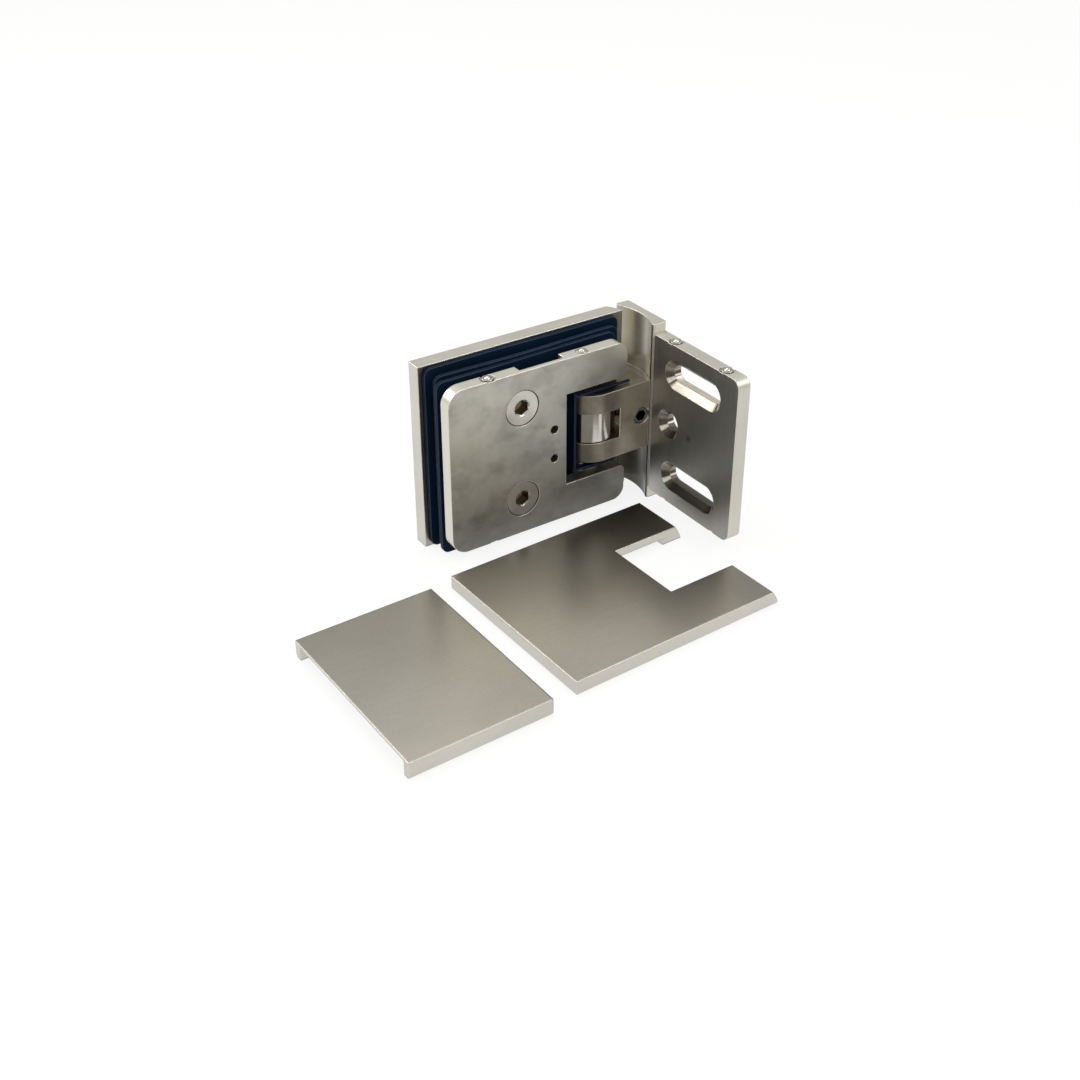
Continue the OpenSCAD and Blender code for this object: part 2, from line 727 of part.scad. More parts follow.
// The glass cover as it lies, face up, in front of the glass side
module glass_cover() {
    color(metal) translate([glass_cover_x, glass_cover_y, floor_z]) rotate([0, 0, glass_cover_turn])
        translate([leaf_w, floor_z, cover_t + pocket_t - half_d]) rotate([-90, 0, 0]) fitted_glass_cover();
}

// Wall cover where it fits: closed at its room end, open towards the post
module fitted_wall_cover() {
    length = wall_reach + cover_gap + cover_end_wall;
    end = hole_to_post - length;
    difference() {
        translate([-post_t, end, floor_z]) cube([post_t, length, hinge_h]);
        translate([-wall_t, end + cover_end_wall, -plate_h / 2 - cover_gap])
            cube([post_t, length, plate_h + 2 * cover_gap]);
        for (s = [0, 1]) mirror([0, 0, s]) translate([0, end, floor_z]) rotate([0, 0, 90])
            edge_round(length);
        translate([0, end, floor_z]) rotate([0, -90, 0]) edge_round(hinge_h);
        for (y = wall_ball_y, s = [-1, 1])
            translate([-wall_t / 2, y, s * (plate_h / 2 + cover_gap + dimple - ball_r)])
                sphere(r = ball_r, $fn = 32);
    }
}

// The wall cover as it lies, face up, with its open end to the left
module wall_cover() {
    color(metal) translate([wall_cover_x, wall_cover_y, floor_z]) rotate([0, 0, wall_cover_turn])
        translate([hole_to_post, floor_z, 0]) rotate([0, 0, 90]) rotate([0, 90, 0]) fitted_wall_cover();
}

wall_leaf();
cam_plunger();
cam_spring();
spring_screw();
lock_screw();
upper_bush();
lower_bush();
wall_plunger_sleeves();
wall_plunger_springs();
for (i = [0:3]) wall_ball(i);
front_plate();
rear_plate();
gasket_front();
gasket_middle();
gasket_rear();
notch_liner();
upper_clamp_screw();
lower_clamp_screw();
pivot_pin();
cam_sleeve();
cam_dowel();
lug_dowels();
plate_plunger_sleeves();
plate_plunger_springs();
for (i = [0:5]) plate_ball(i);
glass_cover();
wall_cover();
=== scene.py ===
import math

import bpy
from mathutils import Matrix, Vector


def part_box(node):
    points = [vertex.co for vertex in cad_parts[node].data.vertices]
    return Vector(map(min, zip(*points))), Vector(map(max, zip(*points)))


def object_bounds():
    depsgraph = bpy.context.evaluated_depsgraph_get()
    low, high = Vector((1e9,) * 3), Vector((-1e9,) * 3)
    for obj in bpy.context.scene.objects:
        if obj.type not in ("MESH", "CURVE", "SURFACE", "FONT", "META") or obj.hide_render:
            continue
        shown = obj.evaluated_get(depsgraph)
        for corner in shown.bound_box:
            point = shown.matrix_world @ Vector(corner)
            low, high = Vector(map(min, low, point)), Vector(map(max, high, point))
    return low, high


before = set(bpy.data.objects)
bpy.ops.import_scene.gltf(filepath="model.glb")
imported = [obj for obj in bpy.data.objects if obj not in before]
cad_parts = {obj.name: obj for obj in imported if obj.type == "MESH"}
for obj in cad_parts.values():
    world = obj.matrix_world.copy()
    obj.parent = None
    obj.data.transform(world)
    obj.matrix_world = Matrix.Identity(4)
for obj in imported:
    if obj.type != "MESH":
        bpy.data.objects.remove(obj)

CAD_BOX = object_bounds()

# The camera that took the photograph, in the hinge's own frame: metres, degrees, and millimetres for the lens
CAMERA_PLACE = (-0.38296, -0.45785, 0.31672)
CAMERA_YAW = 33.97
CAMERA_PITCH = 30.41
CAMERA_LENS = 48.79
CAMERA_SENSOR = 36.0
CAMERA_SHIFT = (-0.0046, -0.0556)
CAMERA_NEAR = 0.01

# The floor, and the share of plain white that it shows to the camera and in reflections
FLOOR_Z = CAD_BOX[0][2]
FLOOR_SIZE = 6.0
FLOOR_COLOR = (0.9, 0.9, 0.9)
FLOOR_ROUGHNESS = 0.8
FLOOR_WHITE = 0.85

# The room's light from the horizon up: the sine of the height, and the strength there
ROOM_COLOR = (1.0, 0.985, 0.95)
ROOM_HEIGHT = (0.0, 0.9)
ROOM_STRENGTH = (0.6, 0.95)

# Soft boxes, all turned to one place: where each stands, its size in metres, its watts and its colour
WHITE = (1.0, 1.0, 1.0)
WARM_WHITE = (1.0, 0.98, 0.95)
LIGHT_TARGET = (-0.05, 0.0, 0.0)
LIGHTS = {
    "key": ((-0.7, 0.6, 0.52), (0.9, 0.5), 4.2, WARM_WHITE),
    "fill": ((0.42, -0.62, 0.68), (0.7, 0.5), 3.0, WARM_WHITE),
    "top": ((-0.1, 0.25, 1.0), (0.7, 0.5), 3.0, WHITE),
}

# Colours as linear values. The faces that look front and back and the brighter top and side faces are
# shaded and lit copies of one metal: painted light and shade. The wall plate's face is darker still, a
# painted shade, and the palest colour is a painted highlight on edges
FACE = (0.42, 0.408, 0.365)
EDGE_PAINTED_LIGHT = (0.68, 0.655, 0.59)
PAINTED_HIGHLIGHT = (0.95, 0.93, 0.87)
WALL_FACE_SHADE = (0.36, 0.35, 0.32)
SUNK = (0.46, 0.425, 0.36)
HOLLOW = (0.66, 0.63, 0.53)
CAST = (0.34, 0.31, 0.255)
COVER_FACE = (0.43, 0.408, 0.36)
STEEL = (0.62, 0.60, 0.55)
STEEL_DARK = (0.22, 0.21, 0.19)
# Colours inside the screws' sockets: painted shade
SOCKET_SHADE = (0.15, 0.125, 0.09)
SOCKET_DEEP_SHADE = (0.012, 0.013, 0.022)
PLASTIC = (0.004, 0.004, 0.006)
RUBBER = (0.0035, 0.0105, 0.025)
# The pale colour on the rubber's edges is a painted highlight
RUBBER_EDGE_HIGHLIGHT = (0.08, 0.09, 0.125)
RUBBER_SHEEN = (0.45, 0.75, 1.0)

# Rays for each rounded edge and each gap
SHADER_SAMPLES = 6

# Where a mask begins and where it is full: how squarely a surface faces an axis, how open it is, and how
# little a rounded edge turns its normal
FACING = (0.75, 0.97)
OPEN = (0.3, 0.8)
NOT_TURNED = (0.8, 0.97)

# Parts of a noise's range from 0 to 1 that a pattern takes: the wider, the softer the pattern
ALL = (0.0, 1.0)
NEARLY_ALL = (0.2, 0.8)
MIDDLE = (0.3, 0.7)
CLOUDED = (0.32, 0.68)
NARROW = (0.35, 0.65)
UPPER = (0.35, 0.7)
PATCHES = (0.48, 0.74)

# The numbers of the materials are named alike. SCALE is cycles per metre, LEVELS is what the colour is
# multiplied by, and ROUGHNESS goes from the least to the most. In metres, the reach of an edge's painted
# highlight is how far it spreads, ROUNDING how far an edge is worn, DEPTH how deep a bump is, and CREVICE how
# narrow a gap gets painted shade, down to the level DARK.

# Brushed metal: the rear plate and the wall leaf
BRUSH_SCALE_ALONG = 40.0
BRUSH_SCALE_ACROSS = 2400.0
BRUSH_GRIT_SCALE = 1400.0
BRUSH_CLOUD_SCALE = 32.0
BRUSH_DEPTH = 0.0000012
BRUSH_GRIT_DEPTH = 0.0000015
BRUSH_DARK = 0.25
CREVICE = 0.0012

# Rear plate
REAR_BRUSH_LEVELS = (0.86, 1.0)
REAR_CLOUD_LEVELS = (0.9, 1.0)
REAR_ROUGHNESS = (0.3, 0.37)
REAR_EDGE_ROUGHNESS = -0.02
REAR_HIGHLIGHT_REACH = 0.0006
REAR_ROUNDING = 0.0007

# Covers, with painted shade towards the back and towards the arms of the glass cover, and side faces in the
# lit edge colour
COVER_BRUSH_SCALE = (70.0, 1500.0, 1500.0)
COVER_BRUSH_LEVELS = (0.96, 1.02)
COVER_GRIT_SCALE = 1100.0
COVER_GRIT_LEVELS = (0.95, 1.04)
COVER_CLOUD_SCALE = 26.0
COVER_CLOUD_LEVELS = (0.88, 1.06)
COVER_BACK_SHADE = (1.06, 0.7)
COVER_ARMS_X = (-0.075, -0.03)
COVER_ARMS_SHADE = (1.0, 0.62)
COVER_EDGE_LEVEL = 0.88
COVER_ROUGHNESS = (0.285, 0.33)
COVER_HIGHLIGHT_REACH = 0.0005
COVER_HIGHLIGHT_SHARE = 0.35
COVER_ROUNDING = 0.001
COVER_DARK = 0.3

# Front plate, with painted shade towards its bottom: its cloudy face, its grit and the smudges of handling.
# The painted shade slants by PLATE_SLANT along the plate
PLATE_GRIT_SCALE = 1500.0
PLATE_GRIT_DEPTH = 0.000002
PLATE_CLOUD_SCALE = 38.0
PLATE_CLOUD_LEVELS = (0.74, 1.1)
PLATE_CLOUD_DEPTH = 0.000015
PLATE_SMUDGE_SCALE = (55.0, 60.0, 75.0)
PLATE_SMUDGE_LEVELS = (1.0, 0.66)
PLATE_HEIGHT_Z = (-0.04, 0.045)
PLATE_HEIGHT_SHADE = (0.38, 1.35)
PLATE_SLANT = 0.1
PLATE_ROUGHNESS = (0.37, 0.45)
PLATE_EDGE_ROUGHNESS = -0.08
PLATE_HIGHLIGHT_REACH = 0.0006
PLATE_ROUNDING = 0.0006
PLATE_DARK = 0.12

# Wall leaf
WALL_BRUSH_LEVELS = (0.84, 1.0)
WALL_CLOUD_LEVELS = (0.88, 1.0)
WALL_ROUGHNESS = (0.38, 0.44)
WALL_HIGHLIGHT_REACH = 0.0005
WALL_ROUNDING = 0.0005

# Borders on the wall leaf, in metres: the fork's root from the wall face, the post's inner edge from the rear
# plate's outer face, and the rim of the wall plate outside its holes, at the side and at the top
FORK_ROOT = 0.0085
POST_WIDTH = 0.0288
BORDER = 0.0006
RIM_SIDE = (0.001, 0.0015)
RIM_TOP = (0.002, 0.0015)

# The faces of the post that look into the room, by how far they face the wall and the back
FACES_WALL = (-0.5, 0.5)
FACES_BACK = (0.3, 0.8)

# The wall plate has painted light close to the post, and one small dark spot of painted shade
NEAR_POST_Y = -0.002
NEAR_POST_GAP = 0.0005
NEAR_POST_PAINTED_LIGHT = 0.6
DARK_SPOT_PLACE = (-0.0067, -0.0147, -0.001)
DARK_SPOT_RADIUS = (0.0006, 0.0022)
DARK_SPOT_LEVEL = 0.55

# Bands of painted light and shade round a countersink: how far its cone faces up, and its level there. At the
# end of the cone the milled sides of a slot begin, with painted shade in the lower slot and painted light in
# the upper one
CONE_PAINTED_LIGHT = ((-0.7, 0.6), (-0.45, 1.0), (-0.3, 0.65), (-0.14, 1.05), (0.0, 0.6), (0.08, 0.26), (0.33, 0.22),
              (0.4, 2.0), (0.52, 2.0), (0.57, 0.28))
CONE_END = (0.6, 0.68)
TURNING_SCALE = (50.0, 800.0, 800.0)
TURNING_LEVELS = (0.8, 1.1)
SLOT_Z = (0.008, 0.012)
SLOT_PAINTED_LIGHT = (0.26, 1.9)
MILLING_SCALE = (1500.0, 30.0, 1500.0)
MILLING_LEVELS = (0.82, 1.06)

# The post's hollow has painted light and shade: palest at its outer edge, and dim beside the fork and at its
# lower end
HOLLOW_RIM = 0.006
HOLLOW_PAINTED_LIGHT = (0.4, 1.08)
HOLLOW_LOW = (0.014, 0.036)
HOLLOW_LOW_SHADE = 0.25
HOLLOW_FORK_Z = (0.014, 0.032)
HOLLOW_FORK_SHADE = 0.45
HOLLOW_ROUGHNESS = (0.18, 0.26)

# The fork has painted light and shade, brighter towards the post, and is blotched
FORK_X = (-0.028, -0.022)
FORK_PAINTED_LIGHT = (0.85, 1.5)
BLOTCH_SCALE = (110.0, 110.0, 150.0)
BLOTCH_LEVELS = (1.0, 0.72)

# Small turned parts. Rings from the turning show on the screws' heads
TURNED_GRIT_SCALE = (900.0, 900.0, 3200.0)
TURNED_GRIT_DEPTH = 0.0000004
TURNED_GRIT_ROUGHNESS = (-0.03, 0.04)
TURNED_CLOUD_SCALE = 160.0
TURNED_CLOUD_LEVELS = (1.0, 0.86)
TURNED_CREVICE = 0.0008
TURNED_DARK = 0.2
TURNED_ROUNDING = 0.0002
SLEEVE_ROUNDING = 0.0001
RING_SCALE = 260.0
RING_DISTORTION = 0.6
RING_LEVELS = (0.95, 1.0)
CLAMP_SOCKET_DEPTH = 0.0004
LOCK_SOCKET_DEPTH = 0.0006

# Roughness of the small turned parts, and how much of the steel's brightness some of them keep. The two
# clamp screws are alike, and their levels make a lit and a shaded copy: painted light and shade
PIVOT_ROUGHNESS = 0.15
SCREW_ROUGHNESS = 0.22
INNER_ROUGHNESS = 0.32
SLEEVE_ROUGHNESS = 0.2
BALL_ROUGHNESS = 0.12
UPPER_SCREW_LIGHT = 0.95
LOWER_SCREW_SHADE = 0.45
LOCK_SCREW_LEVEL = 0.42
SLEEVE_LEVEL = 0.7

# Black plastic
PLASTIC_GLOSS = 0.3
PLASTIC_GRIT_SCALE = 1300.0
PLASTIC_GRIT_LEVELS = (0.8, 1.5)
PLASTIC_GRIT_DEPTH = 0.00001
PLASTIC_ROUGHNESS = (0.45, 0.6)
PLASTIC_ROUNDING = 0.0002

# Rubber
RUBBER_GLOSS = 0.06
RUBBER_GRIT_SCALE = 700.0
RUBBER_GRIT_DEPTH = 0.00002
RUBBER_CLOUD_SCALE = 40.0
RUBBER_CLOUD_LEVELS = (1.0, 1.4)
RUBBER_CLOUD_DEPTH = 0.0002
RUBBER_ROUGHNESS = (0.42, 0.6)
RUBBER_ROUNDING = 0.0004
# How far the painted highlight on the rubber's edges reaches, and its share
RUBBER_HIGHLIGHT_REACH = 0.0007
RUBBER_HIGHLIGHT_SHARE = 0.9


class Nodes:
    """A node tree, with short calls that add and join its nodes.

    In these calls a value is a number or a socket, a colour is three numbers or a socket, and a span is
    a pair of numbers.
    """

    def __init__(self, owner, output="ShaderNodeOutputMaterial"):
        owner.use_nodes = True
        self.tree = owner.node_tree
        self.tree.nodes.clear()
        self.output = self.add(output)
        self.coordinates = self.add("ShaderNodeTexCoord").outputs
        self.place = self.coordinates["Object"]
        self.normal = self.coordinates["Normal"]

    def add(self, kind, **settings):
        node = self.tree.nodes.new(kind)
        for name, value in settings.items():
            setattr(node, name, value)
        return node

    def feed(self, socket, value):
        """Joins a socket to another one, or sets it to a number or a tuple."""
        if isinstance(value, bpy.types.NodeSocket):
            self.tree.links.new(value, socket)
        elif socket.type == "RGBA":
            socket.default_value = (*value, 1.0)
        else:
            socket.default_value = value

    def math(self, operation, a, b):
        node = self.add("ShaderNodeMath", operation=operation)
        self.feed(node.inputs[0], a)
        self.feed(node.inputs[1], b)
        return node.outputs["Value"]

    def times(self, *values):
        """The product of two or more values."""
        product = values[0]
        for value in values[1:]:
            product = self.math("MULTIPLY", product, value)
        return product

    def size_of(self, value):
        """A value without its sign."""
        node = self.add("ShaderNodeMath", operation="ABSOLUTE")
        self.feed(node.inputs[0], value)
        return node.outputs["Value"]

    def span(self, value, source, target):
        """Maps a value from one span to another, and keeps it inside the second."""
        node = self.add("ShaderNodeMapRange")
        self.feed(node.inputs["From Min"], source[0])
        self.feed(node.inputs["From Max"], source[1])
        self.feed(node.inputs["To Min"], target[0])
        self.feed(node.inputs["To Max"], target[1])
        self.feed(node.inputs["Value"], value)
        return node.outputs["Result"]

    def bands(self, value, stops):
        """Levels from 0 to 2 along a value from -1 to 1, as pairs of value and level."""
        node = self.add("ShaderNodeValToRGB")
        elements = node.color_ramp.elements
        while len(elements) < len(stops):
            elements.new(0.5)
        for element, (place, level) in zip(elements, stops):
            element.position = (place + 1.0) / 2.0
            element.color = (level / 2.0, level / 2.0, level / 2.0, 1.0)
        self.feed(node.inputs["Fac"], self.span(value, (-1.0, 1.0), (0.0, 1.0)))
        return self.times(node.outputs["Color"], 2.0)

    def noise(self, scale, detail=3.0, roughness=0.5):
        """Noise fixed to the object, in cycles per metre: one number, or one for each axis."""
        mapping = self.add("ShaderNodeMapping")
        self.feed(mapping.inputs["Scale"], scale if isinstance(scale, tuple) else (scale, scale, scale))
        self.feed(mapping.inputs["Vector"], self.place)
        node = self.add("ShaderNodeTexNoise")
        self.feed(node.inputs["Scale"], 1.0)
        self.feed(node.inputs["Detail"], detail)
        self.feed(node.inputs["Roughness"], roughness)
        self.feed(node.inputs["Vector"], mapping.outputs["Vector"])
        return node.outputs["Fac"]

    def part_of(self, vector, axis):
        split = self.add("ShaderNodeSeparateXYZ")
        self.feed(split.inputs["Vector"], vector)
        return split.outputs[axis.upper()]

    def along(self, axis):
        """The place along one axis, in metres."""
        return self.part_of(self.place, axis)

    def facing(self, axis):
        """1 where the surface faces along one axis, either way, and 0 where it faces aside."""
        return self.span(self.size_of(self.part_of(self.normal, axis)), FACING, (0.0, 1.0))

    def painted_gap_shade(self, reach, dark):
        """Painted shade: 1 on open surfaces, and down to dark in gaps and corners narrower than the reach."""
        node = self.add("ShaderNodeAmbientOcclusion", samples=SHADER_SAMPLES)
        self.feed(node.inputs["Distance"], reach)
        return self.span(node.outputs["AO"], OPEN, (dark, 1.0))

    def rounded(self, reach):
        """The surface's normal, with the edges rounded by the reach."""
        node = self.add("ShaderNodeBevel", samples=SHADER_SAMPLES)
        self.feed(node.inputs["Radius"], reach)
        return node.outputs["Normal"]

    def edges(self, reach):
        """0 on the faces, and up to 1 on the edges that the reach rounds."""
        geometry = self.add("ShaderNodeNewGeometry")
        turned = self.add("ShaderNodeVectorMath", operation="DOT_PRODUCT")
        self.feed(turned.inputs[0], self.rounded(reach))
        self.feed(turned.inputs[1], geometry.outputs["Normal"])
        return self.span(turned.outputs["Value"], NOT_TURNED, (1.0, 0.0))

    def mix(self, factor, a, b):
        """Mixes two colours."""
        node = self.add("ShaderNodeMix", data_type="RGBA")
        self.feed(node.inputs["Factor"], factor)
        self.feed(node.inputs["A"], a)
        self.feed(node.inputs["B"], b)
        return node.outputs["Result"]

    def blend(self, factor, a, b):
        """Mixes two values."""
        node = self.add("ShaderNodeMix")
        self.feed(node.inputs["Factor"], factor)
        self.feed(node.inputs["A"], a)
        self.feed(node.inputs["B"], b)
        return node.outputs["Result"]

    def dim(self, color, *levels):
        """A colour times one or more levels."""
        for level in levels:
            node = self.add("ShaderNodeVectorMath", operation="SCALE")
            self.feed(node.inputs["Vector"], color)
            self.feed(node.inputs["Scale"], level)
            color = node.outputs["Vector"]
        return color

    def painted_edge_highlight(self, color, reach, share=0.8):
        """A colour, with a share of painted highlight on its edges."""
        return self.mix(self.times(self.edges(reach), share), color, PAINTED_HIGHLIGHT)

    def glow(self, kind, color, strength):
        """A shader that shines, for a surface or for the world."""
        node = self.add(kind)
        self.feed(node.inputs["Color"], color)
        self.feed(node.inputs["Strength"], strength)
        return node.outputs[0]

    def mix_shaders(self, factor, a, b):
        node = self.add("ShaderNodeMixShader")
        self.feed(node.inputs["Fac"], factor)
        self.feed(node.inputs[1], a)
        self.feed(node.inputs[2], b)
        return node.outputs["Shader"]


class Finish(Nodes):
    """A material with one shader."""

    def __init__(self, name, metallic=0.0):
        self.material = bpy.data.materials.new(name)
        super().__init__(self.material)
        self.shader = self.add("ShaderNodeBsdfPrincipled")
        self.shader.inputs["Metallic"].default_value = metallic
        self.feed(self.output.inputs["Surface"], self.shader.outputs["BSDF"])

    def brushing(self, along):
        """The noises of metal brushed along one axis: its lines, its grit and its clouds of tone."""
        lines = tuple(BRUSH_SCALE_ALONG if axis == along else BRUSH_SCALE_ACROSS for axis in "xyz")
        return (self.noise(lines, detail=4.0, roughness=0.6),
                self.noise(BRUSH_GRIT_SCALE, detail=3.0, roughness=0.6),
                self.noise(BRUSH_CLOUD_SCALE, detail=4.0, roughness=0.55))

    def surface(self, color, roughness):
        self.feed(self.shader.inputs["Base Color"], color)
        self.feed(self.shader.inputs["Roughness"], roughness)

    def relief(self, bumps, edge):
        """Rounds the edges to look worn by this many metres, and adds bumps as pairs of height and depth."""
        normal = self.rounded(edge) if edge else None
        for height, depth in bumps:
            bump = self.add("ShaderNodeBump")
            self.feed(bump.inputs["Strength"], 1.0)
            self.feed(bump.inputs["Distance"], depth)
            self.feed(bump.inputs["Height"], height)
            if normal is not None:
                self.feed(bump.inputs["Normal"], normal)
            normal = bump.outputs["Normal"]
        self.feed(self.shader.inputs["Normal"], normal)


def tinted(color, level):
    """A colour times a level."""
    return tuple(c * level for c in color)


def rear_plate_metal(name):
    """Rear plate: brushed along the plate, with painted light and shade: its front and back faces take the
    shaded copy, its machined edges the lit copy with a painted highlight, and gaps painted shade.
    """
    nodes = Finish(name, metallic=1.0)
    brush, grit, cloud = nodes.brushing("x")
    flat = nodes.facing("y")
    level = nodes.times(nodes.span(brush, MIDDLE, REAR_BRUSH_LEVELS),
                        nodes.span(cloud, CLOUDED, REAR_CLOUD_LEVELS),
                        nodes.painted_gap_shade(CREVICE, BRUSH_DARK))
    color = nodes.painted_edge_highlight(nodes.mix(flat, EDGE_PAINTED_LIGHT, FACE), REAR_HIGHLIGHT_REACH)
    roughness = nodes.math("ADD", nodes.span(brush, MIDDLE, REAR_ROUGHNESS),
                           nodes.span(flat, ALL, (REAR_EDGE_ROUGHNESS, 0.0)))
    nodes.surface(nodes.dim(color, level), roughness)
    nodes.relief([(brush, BRUSH_DEPTH), (grit, BRUSH_GRIT_DEPTH)], REAR_ROUNDING)
    return nodes.material


def cover_metal(name):
    """Pressed covers: very fine brushing, painted shade towards the back and the glass cover's arms, side
    faces in the lit edge colour with a painted highlight, and painted shade in gaps.
    """
    nodes = Finish(name, metallic=1.0)
    front_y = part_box("wall_cover")[0][1]
    back_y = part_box("glass_cover")[1][1]
    brush = nodes.noise(COVER_BRUSH_SCALE, detail=2.0)
    grit = nodes.noise(COVER_GRIT_SCALE, detail=2.0)
    cloud = nodes.noise(COVER_CLOUD_SCALE)
    painted_shade = nodes.times(nodes.span(nodes.along("y"), (front_y, back_y), COVER_BACK_SHADE),
                       nodes.span(nodes.along("x"), COVER_ARMS_X, COVER_ARMS_SHADE))
    level = nodes.times(nodes.span(brush, NEARLY_ALL, COVER_BRUSH_LEVELS),
                        nodes.span(cloud, ALL, COVER_CLOUD_LEVELS),
                        nodes.span(grit, NEARLY_ALL, COVER_GRIT_LEVELS),
                        nodes.painted_gap_shade(CREVICE, COVER_DARK))
    color = nodes.mix(nodes.facing("z"), tinted(EDGE_PAINTED_LIGHT, COVER_EDGE_LEVEL), nodes.dim(COVER_FACE, painted_shade))
    color = nodes.painted_edge_highlight(color, COVER_HIGHLIGHT_REACH, COVER_HIGHLIGHT_SHARE)
    nodes.surface(nodes.dim(color, level), nodes.span(cloud, NEARLY_ALL, COVER_ROUGHNESS))
    nodes.relief([], COVER_ROUNDING)
    return nodes.material


def wall_leaf_metal(name):
    """Wall leaf: a brushed plate with countersinks, a post with a polished hollow, and a plain cast fork, all
    with painted light and shade, a painted highlight on the edges and painted shade in gaps.
    """
    nodes = Finish(name, metallic=1.0)
    low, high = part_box("wall_leaf")
    plate_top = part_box("wall_plunger_sleeves")[1][2]
    fork_x = high[0] - FORK_ROOT
    post_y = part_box("rear_plate")[1][1] - POST_WIDTH
    x, y, z = (nodes.along(axis) for axis in "xyz")
    side_x, side_y, side_z = (nodes.part_of(nodes.normal, axis) for axis in "xyz")
    brush, grit, cloud = nodes.brushing("z")

    # Each of these is 1 in its region: the fork, the post, and the faces that look into the room
    fork = nodes.span(x, (fork_x - BORDER / 2, fork_x + BORDER / 2), (1.0, 0.0))
    post = nodes.span(y, (post_y, post_y + BORDER), (0.0, 1.0))
    front = nodes.times(nodes.span(side_x, FACES_WALL, (1.0, 0.0)),
                        nodes.span(side_y, FACES_BACK, (1.0, 0.0)))

    # The turned countersinks, with bands of painted light and shade round their cones, and the milled sides
    # of the slots, with painted shade in the lower slot and painted light in the upper one
    turning = nodes.noise(TURNING_SCALE, detail=2.0)
    milling = nodes.noise(MILLING_SCALE, detail=2.0)
    cone_light_and_turning = nodes.times(nodes.bands(side_z, CONE_PAINTED_LIGHT), nodes.span(turning, NARROW, TURNING_LEVELS))
    slot_light_and_milling = nodes.times(nodes.span(z, SLOT_Z, SLOT_PAINTED_LIGHT), nodes.span(milling, NARROW, MILLING_LEVELS))
    sunk = nodes.dim(SUNK, nodes.blend(nodes.span(side_z, CONE_END, (0.0, 1.0)), cone_light_and_turning, slot_light_and_milling))
    rim_y = tuple(low[1] + rim for rim in RIM_SIDE)
    rim_z = tuple(plate_top - rim for rim in RIM_TOP)
    inside = nodes.times(nodes.span(y, rim_y, (0.0, 1.0)),
                         nodes.span(y, (post_y, post_y + BORDER), (1.0, 0.0)),
                         nodes.span(nodes.size_of(z), rim_z, (1.0, 0.0)))

    # The wall plate's face, with its painted light near the post and its spot of painted shade
    spot_distance = nodes.add("ShaderNodeVectorMath", operation="DISTANCE")
    nodes.feed(spot_distance.inputs[0], nodes.place)
    nodes.feed(spot_distance.inputs[1], DARK_SPOT_PLACE)
    spot_shade = nodes.span(spot_distance.outputs["Value"], DARK_SPOT_RADIUS, (DARK_SPOT_LEVEL, 1.0))
    near_post = nodes.span(y, (NEAR_POST_Y, post_y - NEAR_POST_GAP), (0.0, NEAR_POST_PAINTED_LIGHT))
    painted_light = nodes.math("ADD", nodes.times(near_post, front), 1.0)
    face = nodes.dim(WALL_FACE_SHADE, nodes.times(painted_light, spot_shade))
    # Faces along X take the plate's face colour, the countersinks theirs, and the other faces the lit edge
    # colour: painted light and shade
    plate = nodes.mix(nodes.facing("x"), nodes.mix(inside, EDGE_PAINTED_LIGHT, sunk), face)
    plate = nodes.dim(plate, nodes.span(brush, MIDDLE, WALL_BRUSH_LEVELS))

    # The hollow, in painted light and shade: pale at its outer edge, and dim low down and beside the fork.
    # Its end faces take the lit edge colour
    below_z = tuple(low[2] + height for height in HOLLOW_LOW)
    shade = nodes.times(nodes.span(y, (post_y, high[1] - HOLLOW_RIM), HOLLOW_PAINTED_LIGHT),
                        nodes.span(z, below_z, (HOLLOW_LOW_SHADE, 1.0)),
                        nodes.span(z, HOLLOW_FORK_Z, (HOLLOW_FORK_SHADE, 1.0)))
    hollow = nodes.mix(nodes.size_of(side_z), nodes.dim(HOLLOW, shade), EDGE_PAINTED_LIGHT)
    hollow = nodes.mix(front, plate, hollow)

    # The fork, blotched as it was cast, and brighter towards the post: painted light and shade
    blotch = nodes.noise(BLOTCH_SCALE, detail=4.0, roughness=0.6)
    fork_shaded = nodes.dim(CAST, nodes.span(x, FORK_X, FORK_PAINTED_LIGHT), nodes.span(blotch, UPPER, BLOTCH_LEVELS))

    color = nodes.painted_edge_highlight(nodes.mix(fork, nodes.mix(post, plate, hollow), fork_shaded), WALL_HIGHLIGHT_REACH)
    level = nodes.times(nodes.span(cloud, CLOUDED, WALL_CLOUD_LEVELS), nodes.painted_gap_shade(CREVICE, BRUSH_DARK))
    polish = nodes.times(post, front, nodes.span(fork, ALL, (1.0, 0.0)))
    roughness = nodes.blend(polish, nodes.span(brush, MIDDLE, WALL_ROUGHNESS),
                            nodes.span(cloud, MIDDLE, HOLLOW_ROUGHNESS))
    nodes.surface(nodes.dim(color, level), roughness)
    nodes.relief([(brush, BRUSH_DEPTH), (grit, BRUSH_GRIT_DEPTH)], WALL_ROUNDING)
    return nodes.material


